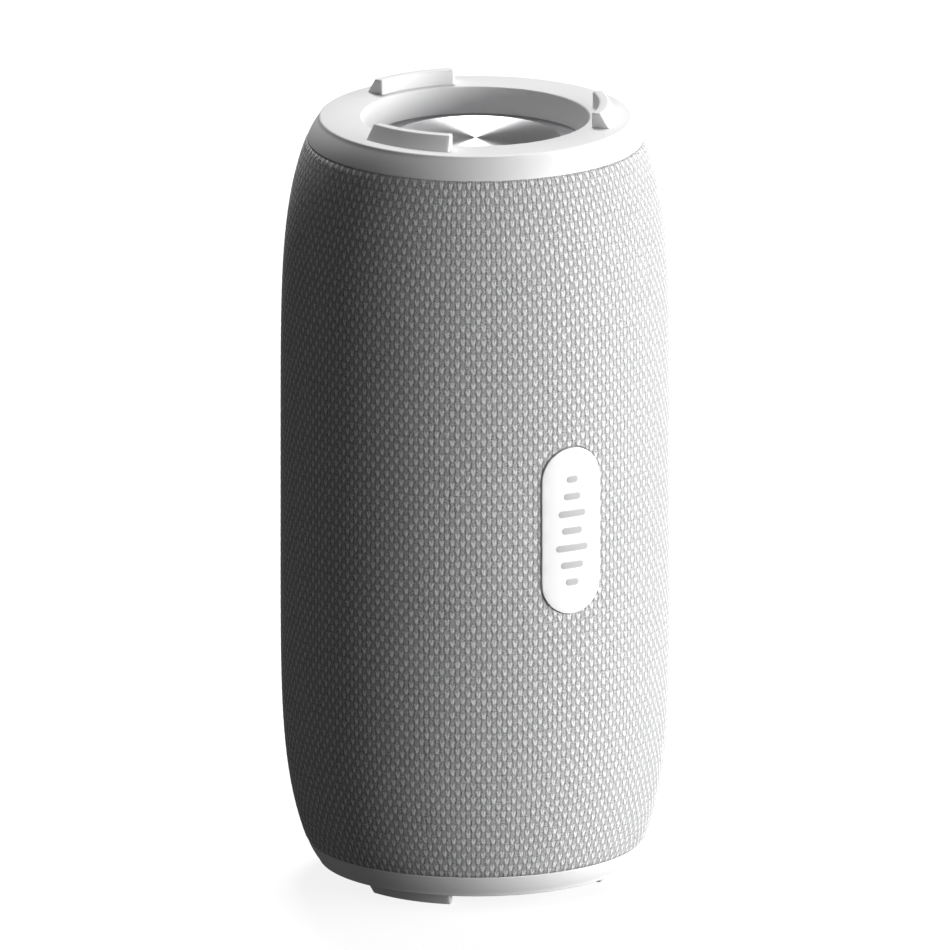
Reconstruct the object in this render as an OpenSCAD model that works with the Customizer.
// Portable bluetooth speaker: an upright barrel in woven cloth between two moulded end rings.
//
// Each end ring carries three lugs and opens onto a passive radiator with a spun aluminium disc.
// Two full-range drivers face the front, behind the cloth. A cell pair and a main board sit behind
// them in a sealed chassis, and a strip of buttons with a capped charging port runs down the back.
//
// Units are millimetres. +Z is up. The origin is under the middle of the body, on the plane that
// the lower lugs stand on. The badge faces -Y and the control strip faces +Y.

/* [Body] */
// Diameter of the cloth barrel at its middle
body_d = 86; // [86:0.5:90]
// Height between the flat faces of the two end rings, without the lugs
core_h = 168.8; // [168:0.2:176]
// How far the barrel's radius draws in at each end
end_draw = 5.7; // [5.4:0.1:5.8]
// How late and how sharply the barrel's side turns in
barrel_power = 5.4; // [5:0.1:6]
// Thickness of the woven sleeve
cloth_t = 0.8; // [0.7:0.05:0.85]
// Thickness of the grille shell under the cloth
grille_t = 1.6; // [1.4:0.1:1.6]

/* [End rings] */
// Height of an end ring from its seam with the cloth to its flat face
ring_h = 5; // [4.8:0.1:5.2]
// Radius of the recess at the flat face
recess_r = 25.5; // [25:0.1:25.6]
// Radius of the recess at its bottom
recess_floor_r = 24.2; // [24.1:0.1:24.4]
// Height of a lug above the flat face
lug_h = 3.3; // [2:0.1:3.5]
// Half of the angle that a lug spans
lug_half_angle = 19.8; // [15:0.2:28]

/* [Passive radiators] */
// Radius of the spun aluminium disc
disc_r = 18.9; // [18:0.1:19]
// Thickness of the disc
disc_t = 1; // [0.8:0.1:1.2]

/* [Drivers] */
// Height of each driver's axis above or below the middle of the body
driver_offset = 42; // [41:0.5:43]
// How far the drivers' mounting plane is in front of the body's axis
baffle_depth = 30; // [29.5:0.1:30.4]

/* [Badge] */
// Width of the badge
badge_w = 14.6; // [13:0.1:16]
// Length of the badge
badge_l = 37.9; // [30:0.1:44]

/* [Control strip] */
// Width of the strip
strip_w = 15; // [14.8:0.1:15.4]
// Length of the strip
strip_l = 96; // [95:0.5:97]
// Diameter of a button
button_d = 9.2; // [8:0.1:9.4]
// Distance between neighbouring buttons
button_pitch = 15; // [14:0.5:15]

/* [Hidden] */
$fn = 72;

eps = 0.01;                      // a cut's overshoot
opening_gap = 0.5;               // how much wider the cloth's openings are than what they hold
pilot_r = 0.85;                  // hole that a self-tapping screw cuts its thread in
button_flange = [5.6, 0.7];      // radius and thickness of the flange that retains a button
mid_z = lug_h + core_h / 2;      // height of the body's middle
half_h = core_h / 2;             // from the middle to an end ring's flat face
seam_u = half_h - ring_h;        // from the middle to the seam of cloth and ring
body_r = body_d / 2;

// Colours
SHELL = "white";
CLOTH = "lightgray";
SPUN = "silver";
RUBBER = "gainsboro";
BLACK = "#242424";
STEEL = "#8c8f94";
BOARD = "#1d4a36";

// End ring, from the middle of the body
seam_r = 37.1;                   // outer radius at the seam
ring_slope = 0.36;               // how fast the side leans in at the seam
ring_bend = 0.0457;              // how fast that lean grows
edge_r = 0.45;                   // rounding of the flat face's outer edge
mouth_r = 0.4;                   // rounding of the recess's mouth
skirt_r = 34.6;                  // outside of the skirt that tucks inside the grille
skirt_t = 1.7;
skirt_drop = 3.2;
wall_out_r = 26.2;               // outside of the recess's wall
ring_roof = 2.3;                 // thickness of the flat face
rim_u = 78.5;                    // where the recess's wall ends, on the surround's rim
lug_in_r = 27.2;                 // upright inner face of a lug
lug_top_r = 29.3;                // outer edge of a lug's flat top
lug_foot_r = 31.5;               // foot of a lug's leaning outer face
lug_round = 0.35;
lug_root = 0.6;                  // how far a lug is rooted in the ring
lug_angles = [90, 210, 330];

// Passive radiator, from the middle of the body
plate_u = 75;                    // outer face of the chassis's end plate
plate_t = 2;
port_r = 26;                     // hole in the end plate
frame_u = [75.8, 78];            // lower and upper face of the radiator's frame
frame_r = [24.4, 30.9];          // inner and outer radius of the frame
radiator_screw_r = 28.4;         // radius of the screw circle
radiator_screws_n = 6;
roll_r = 21.8;                   // radius of the middle of the surround's roll
roll_out = 2.25;
roll_in = 1.75;
weight_r = 11;
weight_u = 74.3;

// Chassis
chassis_r = 34.2;
chassis_t = 2;
collar_r = [31.2, 32.6];
collar_u = 78.2;
split = 0.4;                     // half of the gasket's thickness
clamp_x = 28.5;                  // the screws that clamp the halves
clamp_u = [-64, 0, 64];
pod_r = 25;                      // the tube that carries a driver
pocket_r = 23;
pod_bore_r = 18.6;
baffle_t = 2.5;
baffle_y = -baffle_depth;

// Driver, along its axis from the underside of its flange
gasket_t = 0.6;
flange_r = 22.5;
flange_t = 1.5;
cage_r = 18.3;
cage_in_r = 17.3;
cage_drop = 10;
rear_plate_t = 1.5;
ledge_z = -8.6;
gap_r = 10.6;                    // inside of the yoke
yoke_r = 12.6;
yoke_z = -21.5;
yoke_floor = 2.4;
magnet_r = 8.4;
magnet_t = 5;
pole_r = 8.8;
pole_t = 2.5;
former_r = [9.2, 9.4];
winding_r = 10.1;
driver_screw_r = 20.8;

// Control strip, from the body's axis along +Y
strip_r = body_r + 0.35;         // outer surface of the strip
badge_r = body_r + 0.3;          // outer surface of the badge
panel_in_r = 40.9;               // inner surface of the strip's face
panel_back_r = 38.8;
panel_lip_r = 40;
panel_wall = 1.2;
button_u = [36, 36 - button_pitch, 36 - 2 * button_pitch, 36 - 3 * button_pitch];
button_proud = 0.2;
button_back = 39.6;
button_gap = 0.3;
led_u = -20;
port_u = -34;
board_y = 35;
board_t = 1;
flap_hinge = [42.45, port_u - 3.6];   // y and height of the flap's hinge line
flap_bead_r = 0.6;
flap_half = [6.2, 4.1];
flap_t = 1.2;
plug_half = [5.2, 2.4];
usb_half = [4.47, 1.6];
usb_mouth_y = 40.7;

// Inside
main_board_y = 22;
main_board_t = 1.6;
main_board_half = [19, 56];
cell_r = 9.2;
cell_half_l = 32.5;
cell_x = 9.6;
cell_y = 11.2;
cradle_u = 35;
board_boss = [for (x = [-16, 16], u = [-50, 50]) [x, u]];
cradle_boss = [for (u = [-40, 40]) [0, u]];
strip_boss_u = [28.5, -26.5];
ribbon_w = 8;
ribbon_slot_u = [53, 56];        // slot in the chassis that the ribbon passes through
ribbon_socket_top = 52.5;        // top of the ribbon's connector on the main board

// Points along an arc, from angle a to angle b
function arc(centre, r, a, b, n = 8) =
    [for (i = [0:n]) let (t = a + (b - a) * i / n) centre + r * [cos(t), sin(t)]];

// Radius of the cloth's outer face at height u above or below the middle
function sleeve_r(u) = body_r - end_draw * pow(abs(u) / seam_u, barrel_power);

// One side of the barrel, inset from the cloth's face, with its points closest near the ends
function barrel_side(inset, n = 18) =
    [for (i = [-n:n]) let (u = seam_u * sin(90 * i / n)) [sleeve_r(u) - inset, u]];

function barrel_outline(outer, inner) =
    concat(barrel_side(outer), [for (p = barrel_side(inner)) [p[0], -p[1]]]);

// Radius of an end ring's side at depth d past the seam
function ring_side(d) = seam_r - ring_slope * d - ring_bend * d * d;

function unit(v) = v / norm(v);

// A smooth curve through the route's points, with s steps between neighbours
function smooth(route, s = 4) =
    let (n = len(route) - 1)
    [for (i = [0:n - 1], k = [0:s - (i == n - 1 ? 0 : 1)])
        let (t = k / s,
             a = route[max(i - 1, 0)], b = route[i], c = route[i + 1], d = route[min(i + 2, n)])
        0.5 * (2 * b + (c - a) * t + (2 * a - 5 * b + 4 * c - d) * t * t
            + (3 * b - a - 3 * c + d) * t * t * t)];

module upper() translate([0, 0, mid_z]) children();
module lower() translate([0, 0, mid_z]) mirror([0, 0, 1]) children();

// Turns what is drawn along +Z to point to +Y, at height u above the middle
module facing_back(u, x = 0) translate([x, 0, mid_z + u]) rotate([-90, 0, 0]) children();

// The same towards -Y
module facing_front(u, x = 0) translate([x, 0, mid_z + u]) rotate([90, 0, 0]) children();

module ring(r_in, r_out, h) {
    difference() {
        cylinder(r = r_out, h = h);
        translate([0, 0, -1]) cylinder(r = r_in, h = h + 2);
    }
}

// A rectangle with two round ends, w wide and l long
module pill(w, l) {
    square([w, l - w], center = true);
    for (s = [-1, 1]) translate([0, s * (l - w) / 2]) circle(d = w);
}

module round_rectangle(half, r) {
    square([2 * half[0], 2 * (half[1] - r)], center = true);
    square([2 * (half[0] - r), 2 * half[1]], center = true);
    for (x = [-1, 1], y = [-1, 1])
        translate([x * (half[0] - r), y * (half[1] - r)]) circle(r = r);
}

// What lies between two radii of the body's axis, on the side that the shape is extruded to
module shell_between(r_in, r_out) {
    intersection() {
        translate([0, 0, mid_z - half_h]) ring(r_in, r_out, core_h);
        children();
    }
}

module screw(head_r, head_h, shaft_r, shaft_l) {
    difference() {
        cylinder(r = head_r, h = head_h);
        translate([0, 0, head_h * 0.4]) cylinder(r = head_r * 0.5, h = head_h, $fn = 6);
    }
    translate([0, 0, -shaft_l]) cylinder(r = shaft_r, h = shaft_l + eps);
}

// ---------------------------------------------------------------- end rings

lug_lean = (lug_foot_r - lug_top_r) / lug_h;

module lug() {
    top = half_h + lug_h;
    lean_angle = atan(1 / lug_lean);
    rotate([0, 0, -lug_half_angle]) rotate_extrude(angle = 2 * lug_half_angle)
        polygon(concat(
            [[lug_in_r, half_h - lug_root]],
            [[lug_foot_r + lug_root * lug_lean, half_h - lug_root]],
            arc([lug_top_r - lug_round * tan(lean_angle / 2), top - lug_round],
                lug_round, 90 - lean_angle, 90, 4),
            arc([lug_in_r + lug_round, top - lug_round], lug_round, 90, 180, 5)
        ));
}

module end_ring() {
    flat = half_h;
    side_n = 6;
    color(SHELL) {
        rotate_extrude() polygon(concat(
            [[recess_floor_r, rim_u]],
            arc([recess_r, flat - mouth_r], mouth_r, 180, 90, 6),
            arc([ring_side(ring_h - edge_r) - edge_r, flat - edge_r], edge_r, 90, 25, 5),
            [for (i = [side_n - 1:-1:0]) let (d = (ring_h - edge_r) * i / side_n)
                [ring_side(d), seam_u + d]],
            [[skirt_r, seam_u], [skirt_r, seam_u - skirt_drop],
             [skirt_r - skirt_t, seam_u - skirt_drop], [skirt_r - skirt_t, flat - ring_roof],
             [wall_out_r + 0.8, flat - ring_roof], [wall_out_r, rim_u]]
        ));
        for (a = lug_angles) rotate([0, 0, a]) lug();
    }
}

module top_end_ring() upper() end_ring();
module bottom_end_ring() lower() end_ring();

// ---------------------------------------------------------------- cloth, grille and badge

module strip_opening(grow) {
    facing_back(0) linear_extrude(height = body_r + 5) pill(strip_w + grow, strip_l + grow);
}

module badge_opening(grow) {
    facing_front(0) linear_extrude(height = body_r + 5) pill(badge_w + grow, badge_l + grow);
}

module fabric_sleeve() {
    color(CLOTH) difference() {
        upper() rotate_extrude() polygon(barrel_outline(0, cloth_t));
        strip_opening(opening_gap);
        badge_opening(opening_gap);
    }
}

module grille_shell() {
    upper() rotate_extrude() polygon(barrel_outline(cloth_t, cloth_t + grille_t));
}

grille_gap = 0.15;               // half of the joint between the grille's halves
badge_pins_u = [-12, 12];
badge_pin_r = 1.2;

module half_space(side, gap) {
    translate([-60, side > 0 ? gap : -60, -10]) cube([120, 60 - gap, 200]);
}

// Vertical sound slots in front of both drivers
module sound_slots() {
    slot_w = 3.2;
    slot_l = 15;
    for (s = [-1, 1], row = [-1, 1], k = [-4:4])
        translate([0, 0, mid_z + s * driver_offset + row * 9])
            rotate([0, 0, k * 9]) rotate([90, 0, 0])
                linear_extrude(height = body_r) pill(slot_w, slot_l);
}

module grille_front() {
    color(BLACK) difference() {
        intersection() {
            grille_shell();
            half_space(-1, grille_gap);
        }
        sound_slots();
        for (u = badge_pins_u)
            facing_front(u) cylinder(r = badge_pin_r + 0.1, h = body_r + 5);
    }
}

module grille_rear() {
    color(BLACK) difference() {
        intersection() {
            grille_shell();
            half_space(1, grille_gap);
        }
        strip_opening(opening_gap);
    }
}

module badge_plate() {
    pin_tip = 39.2;
    color(SHELL) {
        shell_between(body_r - cloth_t, badge_r) badge_opening(0);
        for (u = badge_pins_u)
            facing_front(u) translate([0, 0, pin_tip])
                cylinder(r = badge_pin_r, h = body_r - cloth_t - pin_tip + 0.4);
    }
}

// ---------------------------------------------------------------- control strip

module flap_outline() translate([0, 0.2]) round_rectangle(flap_half, 1.4);

module control_panel() {
    recess_half = flap_half + [0.25, 0.25];
    flap_floor_r = strip_r - flap_t - 0.15;
    lower_edge = flap_hinge[1] - 1.4;
    upper_edge = port_u + 0.2 + recess_half[1];
    color(SHELL) difference() {
        union() {
            shell_between(panel_back_r, strip_r) strip_opening(0);
            shell_between(panel_back_r, panel_lip_r) strip_opening(2.6);
        }
        shell_between(0, panel_in_r) strip_opening(-2 * panel_wall);
        for (u = button_u)
            facing_back(u) cylinder(r = button_d / 2 + button_gap, h = body_r + 5);
        facing_back(led_u) cylinder(r = 1, h = body_r + 5);
        facing_back(port_u) linear_extrude(height = body_r + 5)
            rotate(90) pill(2 * plug_half[1] + 0.8, 2 * plug_half[0] + 0.8);
        shell_between(flap_floor_r, body_r + 5)
            translate([-recess_half[0], 0, mid_z + lower_edge])
                cube([2 * recess_half[0], body_r + 5, upper_edge - lower_edge]);
        translate([-recess_half[0], flap_hinge[0], mid_z + flap_hinge[1]])
            rotate([0, 90, 0]) cylinder(r = flap_bead_r + 0.15, h = 2 * recess_half[0]);
        // thumb notch over the flap
        facing_back(upper_edge) translate([0, 0, strip_r - 1])
            cylinder(r = 2.6, h = 5);
    }
}

module button(u) {
    color(RUBBER) {
        intersection() {
            facing_back(u) translate([0, 0, button_back]) cylinder(d = button_d, h = 10);
            translate([0, 0, mid_z - half_h]) cylinder(r = strip_r + button_proud, h = core_h);
        }
        facing_back(u) translate([0, 0, button_back]) cylinder(r = button_flange[0], h = button_flange[1]);
    }
}

module power_button() button(button_u[0]);
module volume_up_button() button(button_u[1]);
module play_button() button(button_u[2]);
module volume_down_button() button(button_u[3]);

// Silicone sheet with a pip over each switch
module keypad_membrane() {
    middle = (button_u[0] + button_u[3]) / 2;
    half_l = (button_u[0] - button_u[3]) / 2 + 7;
    sheet_t = 0.6;
    color(RUBBER) {
        facing_back(middle) translate([0, 0, button_back - sheet_t])
            linear_extrude(height = sheet_t) round_rectangle([6.1, half_l], 3);
        for (u = button_u)
            facing_back(u) translate([0, 0, button_back - sheet_t - 0.5])
                cylinder(r = 1.5, h = 0.5 + eps);
    }
}

module status_light_pipe() {
    color("whitesmoke") intersection() {
        facing_back(led_u) translate([0, 0, 37]) cylinder(r = 0.9, h = 10);
        translate([0, 0, mid_z - half_h]) cylinder(r = strip_r, h = core_h);
    }
}

// Rubber lid with a hollow plug, which swings about the bead at its lower edge
module port_flap() {
    plug_tip = 40.95;
    plug_wall = 0.9;
    color(RUBBER) {
        difference() {
            shell_between(strip_r - flap_t, strip_r)
                facing_back(port_u) linear_extrude(height = body_r + 5) flap_outline();
            // the lid gives way to the bead below the hinge line
            translate([-10, 30, mid_z + flap_hinge[1] - 10]) cube([20, 20, 10]);
        }
        translate([-4.4, flap_hinge[0], mid_z + flap_hinge[1]])
            rotate([0, 90, 0]) cylinder(r = flap_bead_r, h = 8.8);
        facing_back(port_u) translate([0, 0, plug_tip]) linear_extrude(height = 1.5)
            difference() {
                rotate(90) pill(2 * plug_half[1], 2 * plug_half[0]);
                rotate(90) pill(2 * (plug_half[1] - plug_wall), 2 * (plug_half[0] - plug_wall));
            }
    }
}

module control_board() {
    color(BOARD) difference() {
        translate([-6.2, board_y, mid_z - 43]) cube([12.4, board_t, 86]);
        for (u = strip_boss_u) facing_back(u) cylinder(r = 1, h = 60);
    }
}

module tact_switches() {
    face = board_y + board_t;
    half = 2.25;
    color(STEEL) for (u = button_u) {
        translate([-half, face, mid_z + u - half]) cube([2 * half, 1.8, 2 * half]);
        facing_back(u) translate([0, 0, face + 1.8 - eps]) cylinder(r = 1, h = 0.65);
    }
}

// Upright USB-C receptacle
module usb_socket() {
    face = board_y + board_t;
    depth = usb_mouth_y - face;
    floor_t = 0.6;
    slot_half = [4.17, 1.28];
    color(STEEL) {
        facing_back(port_u) translate([0, 0, face]) difference() {
            linear_extrude(height = depth) rotate(90) pill(2 * usb_half[1], 2 * usb_half[0]);
            translate([0, 0, floor_t]) linear_extrude(height = depth)
                rotate(90) pill(2 * slot_half[1], 2 * slot_half[0]);
        }
        translate([-3.35, face + floor_t - eps, mid_z + port_u - 0.35])
            cube([6.7, depth - floor_t - 0.4, 0.7]);
    }
}

// ---------------------------------------------------------------- chassis

module radiator_holes(r, low, high) {
    for (i = [0:radiator_screws_n - 1]) rotate([0, 0, 30 + i * 360 / radiator_screws_n])
        translate([radiator_screw_r, 0, low]) cylinder(r = r, h = high - low);
}

// The closed drum that both halves and the gasket between them are cut from
module chassis_drum() {
    boss_drop = 5;
    difference() {
        union() {
            upper() translate([0, 0, -plate_u]) difference() {
                cylinder(r = chassis_r, h = 2 * plate_u);
                translate([0, 0, plate_t])
                    cylinder(r = chassis_r - chassis_t, h = 2 * (plate_u - plate_t));
            }
            upper() chassis_end_features(boss_drop);
            lower() chassis_end_features(boss_drop);
        }
        translate([0, 0, mid_z - half_h]) cylinder(r = port_r, h = core_h);
        upper() radiator_holes(pilot_r, plate_u - plate_t - boss_drop + 0.5, plate_u + 1);
        lower() radiator_holes(pilot_r, plate_u - plate_t - boss_drop + 0.5, plate_u + 1);
    }
}

module chassis_end_features(boss_drop) {
    translate([0, 0, plate_u - eps])
        ring(collar_r[0], collar_r[1], collar_u - plate_u + eps);
    radiator_holes(2.3, plate_u - plate_t - boss_drop, plate_u - plate_t + eps);
}

// Rib at mid-height that the grille rests on, on the given side of the split
module spacer_rib(side) {
    intersection() {
        translate([0, 0, mid_z - 1.2]) ring(chassis_r - 0.5, body_r - cloth_t - grille_t - 0.1, 2.4);
        half_space(side, 2);
    }
}

// Screw bosses for the clamping screws, on the given side of the split
module clamp_bosses(side) {
    intersection() {
        for (x = [-clamp_x, clamp_x], u = clamp_u)
            translate([x, 0, mid_z + u]) rotate([-90 * side, 0, 0])
                translate([0, 0, split]) cylinder(r = 3, h = 20);
        upper() cylinder(r = chassis_r, h = 2 * plate_u, center = true);
    }
}

module chassis_front() {
    color(BLACK) difference() {
        union() {
            intersection() {
                chassis_drum();
                half_space(-1, split);
            }
            clamp_bosses(-1);
            spacer_rib(-1);
            for (s = [-1, 1]) facing_front(s * driver_offset)
                translate([0, 0, baffle_depth - 10]) cylinder(r = pod_r, h = 10);
        }
        for (s = [-1, 1]) facing_front(s * driver_offset) {
            translate([0, 0, baffle_depth]) cylinder(r = pocket_r, h = 10);
            translate([0, 0, baffle_depth - baffle_t - 12]) cylinder(r = pocket_r + 0.2, h = 12);
            translate([0, 0, baffle_depth - baffle_t - 1]) cylinder(r = pod_bore_r, h = 5);
            for (a = [45:90:315]) rotate([0, 0, a]) translate([driver_screw_r, 0, 20])
                cylinder(r = pilot_r, h = 15);
        }
        for (x = [-clamp_x, clamp_x], u = clamp_u)
            facing_front(u, x) cylinder(r = 1.15, h = 10);
    }
}

module chassis_rear() {
    color(BLACK) difference() {
        union() {
            intersection() {
                chassis_drum();
                half_space(1, split);
            }
            clamp_bosses(1);
            difference() {
                spacer_rib(1);
                translate([-11, 0, mid_z - 5]) cube([22, body_r, 10]);
            }
            intersection() {
                for (p = concat(board_boss, cradle_boss)) facing_back(p[1], p[0])
                    translate([0, 0, main_board_y + main_board_t]) cylinder(r = 2.6, h = 12);
                upper() cylinder(r = chassis_r - 0.5, h = 2 * plate_u, center = true);
            }
            for (u = strip_boss_u) facing_back(u)
                translate([0, 0, chassis_r - 1]) cylinder(r = 2, h = board_y - chassis_r + 1);
        }
        for (x = [-clamp_x, clamp_x], u = clamp_u) facing_back(u, x) {
            cylinder(r = 1.4, h = 20);
            translate([0, 0, 10]) cylinder(r = 2.5, h = 20);
        }
        for (p = concat(board_boss, cradle_boss)) facing_back(p[1], p[0])
            cylinder(r = 0.95, h = 28.5);
        for (u = strip_boss_u) facing_back(u)
            translate([0, 0, 32.9]) cylinder(r = 0.65, h = 5);
        translate([-ribbon_w / 2 - 0.8, 30, mid_z + ribbon_slot_u[0]])
            cube([ribbon_w + 1.6, 6, ribbon_slot_u[1] - ribbon_slot_u[0]]);
    }
}

module chassis_gasket() {
    color(RUBBER) intersection() {
        chassis_drum();
        translate([-60, -split, 0]) cube([120, 2 * split, 200]);
    }
}

module chassis_screws() {
    color(STEEL) for (x = [-clamp_x, clamp_x], u = clamp_u)
        facing_back(u, x) translate([0, 0, 10]) screw(2.2, 1.6, 1.1, 18);
}

// ---------------------------------------------------------------- passive radiators

module radiator_frame() {
    color(BLACK) difference() {
        translate([0, 0, frame_u[0]]) ring(frame_r[0], frame_r[1], frame_u[1] - frame_u[0]);
        radiator_holes(1.05, frame_u[0] - 1, frame_u[1] + 1);
    }
}

module radiator_gasket() {
    color(RUBBER) difference() {
        translate([0, 0, plate_u]) ring(port_r + 0.2, frame_r[1], frame_u[0] - plate_u);
        radiator_holes(1.05, plate_u - 1, frame_u[0] + 1);
    }
}

// Rubber ring with a sunk half-roll between a clamped outer rim and a glued inner rim
module radiator_surround() {
    low = frame_u[1];
    middle = (low + rim_u) / 2;
    dip_out = asin((middle - low) / roll_out);
    dip_in = asin((rim_u - middle) / roll_in);
    color(BLACK) rotate_extrude() polygon(concat(
        [[roll_r + 4.6, rim_u], [roll_r + 4.6, low]],
        arc([roll_r, middle], roll_out, -dip_out, dip_out - 180, 16),
        [[16.2, low], [16.2, rim_u]],
        arc([roll_r, middle], roll_in, 180 - dip_in, 360 + dip_in, 16)
    ));
}

module radiator_disc() {
    bevel = 0.25;
    top = rim_u + disc_t;
    color(SPUN) rotate_extrude() polygon([
        [0, rim_u], [disc_r, rim_u], [disc_r, top - bevel], [disc_r - bevel, top],
        [0.5, top], [0, top - 0.15]
    ]);
}

// Moulded piston with a thick middle, which tunes the radiator
module radiator_weight() {
    flange = 19.2;
    color(STEEL) rotate_extrude() polygon([
        [0, weight_u], [weight_r, weight_u], [weight_r, 77.2], [flange, 77.2],
        [flange, frame_u[1]], [16, frame_u[1]], [16, rim_u], [0, rim_u]
    ]);
}

module radiator_screw_ring() {
    color(STEEL) for (i = [0:radiator_screws_n - 1])
        rotate([0, 0, 30 + i * 360 / radiator_screws_n])
            translate([radiator_screw_r, 0, frame_u[1]]) screw(1.8, 1.3, 0.8, 8);
}

module top_radiator_frame() upper() radiator_frame();
module top_radiator_gasket() upper() radiator_gasket();
module top_radiator_surround() upper() radiator_surround();
module top_radiator_disc() upper() radiator_disc();
module top_radiator_weight() upper() radiator_weight();
module bottom_radiator_frame() lower() radiator_frame();
module bottom_radiator_gasket() lower() radiator_gasket();
module bottom_radiator_surround() lower() radiator_surround();
module bottom_radiator_disc() lower() radiator_disc();
module bottom_radiator_weight() lower() radiator_weight();

module radiator_screws() {
    upper() radiator_screw_ring();
    lower() radiator_screw_ring();
}

// ---------------------------------------------------------------- drivers

// Places what is drawn about a driver's axis, side 1 above the middle and -1 below it
module driver_at(side) {
    translate([0, baffle_y - gasket_t, mid_z + side * driver_offset]) rotate([90, 0, 0]) children();
}

module driver_bolt_circle() {
    for (a = [45:90:315]) rotate([0, 0, a]) translate([driver_screw_r, 0, 0]) children();
}

module driver_basket() {
    color(BLACK) difference() {
        union() {
            cylinder(r = flange_r, h = flange_t);
            translate([0, 0, -cage_drop - rear_plate_t])
                cylinder(r = cage_r, h = cage_drop + rear_plate_t + eps);
        }
        translate([0, 0, ledge_z]) cylinder(r = cage_in_r, h = 20);
        translate([0, 0, -cage_drop]) cylinder(r = 15.8, h = 20);
        translate([0, 0, -20]) cylinder(r = gap_r, h = 20);
        for (a = [0:90:270]) rotate([0, 0, a])
            translate([10, -6, -7.4]) cube([12, 12, 5.8]);
        driver_bolt_circle() translate([0, 0, -1]) cylinder(r = 1, h = 5);
    }
}

module driver_gasket() {
    color(RUBBER) translate([0, 0, -gasket_t]) difference() {
        ring(pod_bore_r + 0.1, flange_r - 0.1, gasket_t);
        driver_bolt_circle() translate([0, 0, -1]) cylinder(r = 1.1, h = 5);
    }
}

module driver_yoke() {
    color(STEEL) translate([0, 0, yoke_z]) difference() {
        cylinder(r = yoke_r, h = -cage_drop - rear_plate_t - yoke_z);
        translate([0, 0, yoke_floor]) cylinder(r = gap_r, h = 20);
    }
}

module driver_magnet() {
    color("dimgray") translate([0, 0, yoke_z + yoke_floor]) cylinder(r = magnet_r, h = magnet_t);
}

module driver_top_plate() {
    color(STEEL) translate([0, 0, yoke_z + yoke_floor + magnet_t])
        cylinder(r = pole_r, h = pole_t);
}

module driver_voice_coil() {
    color("peru") {
        translate([0, 0, -15.6]) ring(former_r[0], former_r[1], 9.6);
        translate([0, 0, -14.6]) ring(former_r[1] - eps, winding_r, 3.5);
    }
}

module driver_cone() {
    color(BLACK) rotate_extrude() polygon([
        [9.45, -7], [9.85, -7], [9.85, -6.4], [14.1, 1.2], [14.6, 1.2],
        [14.6, flange_t], [13.7, flange_t], [9.45, -6.3]
    ]);
}

module driver_dust_cap() {
    base = [10.1, -4.85];
    rise = 2.4;
    dome_r = (base[0] * base[0] + rise * rise) / (2 * rise);
    half_angle = asin(base[0] / dome_r);
    centre = [0, base[1] + rise - dome_r];
    color(BLACK) rotate_extrude() polygon(concat(
        arc(centre, dome_r, 90 - half_angle, 90, 8),
        arc(centre, dome_r - 0.3, 90, 90 - half_angle, 8)
    ));
}

// Rubber half-roll that stands out between the cone and the flange
module driver_surround() {
    roll = [15.8, flange_t + 0.175];
    out = 1.775;
    in = 1.425;
    dip_out = asin(0.175 / out);
    dip_in = asin(0.175 / in);
    top = flange_t + 0.35;
    color(BLACK) rotate_extrude() polygon(concat(
        [[19.2, flange_t], [19.2, top]],
        arc(roll, out, dip_out, 180 - dip_out, 14),
        [[13.75, top], [13.75, flange_t]],
        arc(roll, in, 180 + dip_in, -dip_in, 14)
    ));
}

// Corrugated disc that centres the voice coil
module driver_spider() {
    inner = former_r[1] + 0.1;
    wave_in = 10.5;
    wave_out = 15.7;
    wave_h = 0.45;
    t = 0.35;
    crest = [for (i = [0:24]) let (s = i / 24)
        [wave_in + (wave_out - wave_in) * s, ledge_z + t + wave_h * sin(1080 * s)]];
    color("khaki") rotate_extrude() polygon(concat(
        [[inner, ledge_z], [inner, ledge_z + t]], crest, [[17.1, ledge_z + t], [17.1, ledge_z]],
        [for (i = [24:-1:0]) crest[i] - [0, t]]
    ));
}

module driver_screw_set() {
    color(STEEL) driver_bolt_circle() translate([0, 0, flange_t]) screw(1.5, 1.1, 0.8, 4.4);
}

module upper_driver_basket() driver_at(1) driver_basket();
module upper_driver_gasket() driver_at(1) driver_gasket();
module upper_driver_surround() driver_at(1) driver_surround();
module upper_driver_cone() driver_at(1) driver_cone();
module upper_driver_dust_cap() driver_at(1) driver_dust_cap();
module upper_driver_voice_coil() driver_at(1) driver_voice_coil();
module upper_driver_spider() driver_at(1) driver_spider();
module upper_driver_top_plate() driver_at(1) driver_top_plate();
module upper_driver_magnet() driver_at(1) driver_magnet();
module upper_driver_yoke() driver_at(1) driver_yoke();
module lower_driver_basket() driver_at(-1) driver_basket();
module lower_driver_gasket() driver_at(-1) driver_gasket();
module lower_driver_surround() driver_at(-1) driver_surround();
module lower_driver_cone() driver_at(-1) driver_cone();
module lower_driver_dust_cap() driver_at(-1) driver_dust_cap();
module lower_driver_voice_coil() driver_at(-1) driver_voice_coil();
module lower_driver_spider() driver_at(-1) driver_spider();
module lower_driver_top_plate() driver_at(-1) driver_top_plate();
module lower_driver_magnet() driver_at(-1) driver_magnet();
module lower_driver_yoke() driver_at(-1) driver_yoke();

module driver_screws() {
    for (side = [-1, 1]) driver_at(side) driver_screw_set();
}

// ---------------------------------------------------------------- power and electronics

module battery_cells() {
    color("steelblue") for (x = [-cell_x, cell_x]) translate([x, cell_y, mid_z]) {
        cylinder(r = cell_r, h = 2 * cell_half_l, center = true);
        translate([0, 0, cell_half_l - eps]) cylinder(r = 3, h = 0.4);
    }
}

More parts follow.
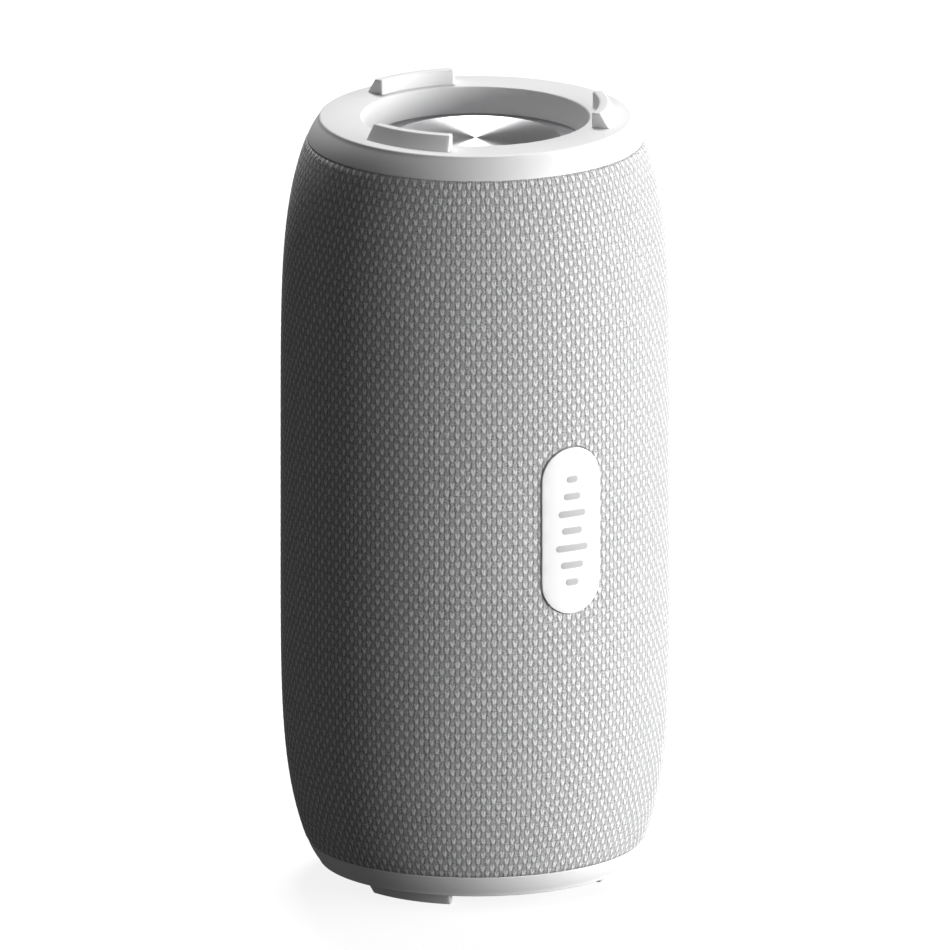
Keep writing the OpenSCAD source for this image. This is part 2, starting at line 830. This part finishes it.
module battery_cradle() {
    front = 9;
    back = main_board_y - 0.6;
    half_w = 20.6;
    color(BLACK) difference() {
        union() {
            translate([-half_w, front, mid_z - cradle_u])
                cube([2 * half_w, back - front, 2 * cradle_u]);
            for (p = cradle_boss)
                translate([-5, main_board_y - 2.6, mid_z + p[1] - 6]) cube([10, 2.6, 12]);
        }
        for (x = [-cell_x, cell_x]) translate([x, cell_y, mid_z])
            cylinder(r = cell_r + 0.2, h = 2 * cell_half_l + 1, center = true);
        for (p = cradle_boss) facing_back(p[1]) cylinder(r = 1.2, h = 40);
    }
}

module main_board() {
    color(BOARD) difference() {
        translate([-main_board_half[0], main_board_y, mid_z - main_board_half[1]])
            cube([2 * main_board_half[0], main_board_t, 2 * main_board_half[1]]);
        for (p = concat(board_boss, cradle_boss)) facing_back(p[1], p[0])
            cylinder(r = 1.2, h = 40);
    }
}

// Chips, coils, capacitors and wire connectors on the back and front of the main board
module board_components() {
    back = main_board_y + main_board_t;
    // width, height along Z, thickness, x, height above the middle
    chips = [
        [7, 7, 0.9, -9, 12], [6, 6, 1, 9, 12], [5, 5, 0.9, -10, -8], [9, 12, 1.6, 10, -26],
        [3, 5, 1.2, -3, -22], [4, 3, 1, 2, 24],
        [9.4, 4.2, 2, 0, ribbon_socket_top - 2.1]
    ];
    coils = [[7, 0], [-1, 2], [-10, 28], [9, 34]];
    capacitors = [[-8, -34], [-12, -22], [11, -8]];
    connectors = [[13, 45], [13, -45], [-13, 44]];
    color("#303236") {
        for (c = chips)
            translate([c[3] - c[0] / 2, back, mid_z + c[4] - c[1] / 2]) cube([c[0], c[2], c[1]]);
        for (p = coils)
            translate([p[0] - 2.5, back, mid_z + p[1] - 2.5]) cube([5, 2.8, 5]);
        for (p = capacitors)
            facing_back(p[1], p[0]) translate([0, 0, back]) cylinder(r = 2.6, h = 4.8);
        for (p = connectors)
            translate([p[0] - 3, socket_face_y, mid_z + p[1] - 2])
                cube([6, main_board_y - socket_face_y, 4]);
    }
}

module board_screws() {
    color(STEEL) {
        for (p = board_boss) translate([p[0], main_board_y, mid_z + p[1]])
            rotate([90, 0, 0]) screw(2, 1.3, 0.9, 6);
        for (p = cradle_boss) translate([p[0], main_board_y - 2.6, mid_z + p[1]])
            rotate([90, 0, 0]) screw(2, 1.3, 0.9, 8.6);
        for (u = strip_boss_u) translate([0, board_y + board_t, mid_z + u])
            rotate([-90, 0, 0]) screw(1.6, 0.9, 0.6, 2.6);
    }
}

// Flat cable from the control board, in through the chassis slot, to the main board
module ribbon_cable() {
    t = 0.3;
    board_bend = 2.6;
    socket_bend = 2;
    slot_u = ribbon_slot_u[1] - 1;
    socket_y = main_board_y + main_board_t + 1;
    // inner face of the cable, as y and height above the middle
    face = concat(
        [[board_y - t, 38]],
        arc([board_y - t - board_bend, slot_u - board_bend], board_bend, 0, 90, 8),
        arc([socket_y + socket_bend, slot_u - socket_bend], socket_bend, 90, 180, 6),
        [[socket_y, ribbon_socket_top]]
    );
    last = len(face) - 1;
    outer = [for (i = [last:-1:0])
        let (d = unit(face[min(i + 1, last)] - face[max(i - 1, 0)])) face[i] + t * [d[1], -d[0]]];
    color("ivory") translate([-ribbon_w / 2, 0, mid_z]) rotate([90, 0, 90])
        linear_extrude(height = ribbon_w) polygon(concat(face, outer));
}

wire_r = 0.8;
basket_back_y = baffle_y - gasket_t + cage_drop + rear_plate_t;
socket_face_y = main_board_y - 3;    // front of the wire connectors on the main board
driver_lead = [
    [13, socket_face_y - 0.1, 45], [13, 16, 45], [15.5, 10, 46.5], [18.5, 3, 49], [20.2, -5, 49],
    [18.5, -12, 45.5], [15.4, -16, 42.2], [15, basket_back_y + 0.1, 42]
];
battery_lead = [
    [-10, 14, cradle_u + 0.1], [-10, 14, 37.5], [-11.2, 14.6, 41], [-12.8, 15.8, 43.8],
    [-13, socket_face_y - 0.1, 44]
];

// A round lead swept along a route given from the middle of the body
module lead(route) {
    line = smooth(route);
    n = len(line);
    sides = 8;
    side_axis = [0, 0, 1];
    points = [for (i = [0:n - 1])
        let (d = unit(line[min(i + 1, n - 1)] - line[max(i - 1, 0)]),
             a = unit(cross(d, abs(d[2]) > 0.9 ? [1, 0, 0] : side_axis)), b = cross(d, a))
        for (k = [0:sides - 1])
            line[i] + wire_r * (cos(360 * k / sides) * a + sin(360 * k / sides) * b)];
    around = [for (i = [0:n - 2], k = [0:sides - 1])
        let (k2 = (k + 1) % sides)
        [i * sides + k, i * sides + k2, (i + 1) * sides + k2, (i + 1) * sides + k]];
    ends = [[for (k = [sides - 1:-1:0]) k], [for (k = [0:sides - 1]) (n - 1) * sides + k]];
    polyhedron(points = points, faces = concat(around, ends));
}

module wiring_harness() {
    color("firebrick") {
        upper() lead(driver_lead);
        lower() lead(driver_lead);
        upper() lead(battery_lead);
    }
}

// ---------------------------------------------------------------- nodes

top_end_ring();
bottom_end_ring();
fabric_sleeve();
grille_front();
grille_rear();
badge_plate();
control_panel();
power_button();
volume_up_button();
play_button();
volume_down_button();
keypad_membrane();
status_light_pipe();
port_flap();
control_board();
tact_switches();
usb_socket();
chassis_front();
chassis_rear();
chassis_gasket();
chassis_screws();
top_radiator_frame();
top_radiator_gasket();
top_radiator_surround();
top_radiator_disc();
top_radiator_weight();
bottom_radiator_frame();
bottom_radiator_gasket();
bottom_radiator_surround();
bottom_radiator_disc();
bottom_radiator_weight();
radiator_screws();
upper_driver_basket();
upper_driver_gasket();
upper_driver_surround();
upper_driver_cone();
upper_driver_dust_cap();
upper_driver_voice_coil();
upper_driver_spider();
upper_driver_top_plate();
upper_driver_magnet();
upper_driver_yoke();
lower_driver_basket();
lower_driver_gasket();
lower_driver_surround();
lower_driver_cone();
lower_driver_dust_cap();
lower_driver_voice_coil();
lower_driver_spider();
lower_driver_top_plate();
lower_driver_magnet();
lower_driver_yoke();
driver_screws();
battery_cells();
battery_cradle();
main_board();
board_components();
board_screws();
ribbon_cable();
wiring_harness();
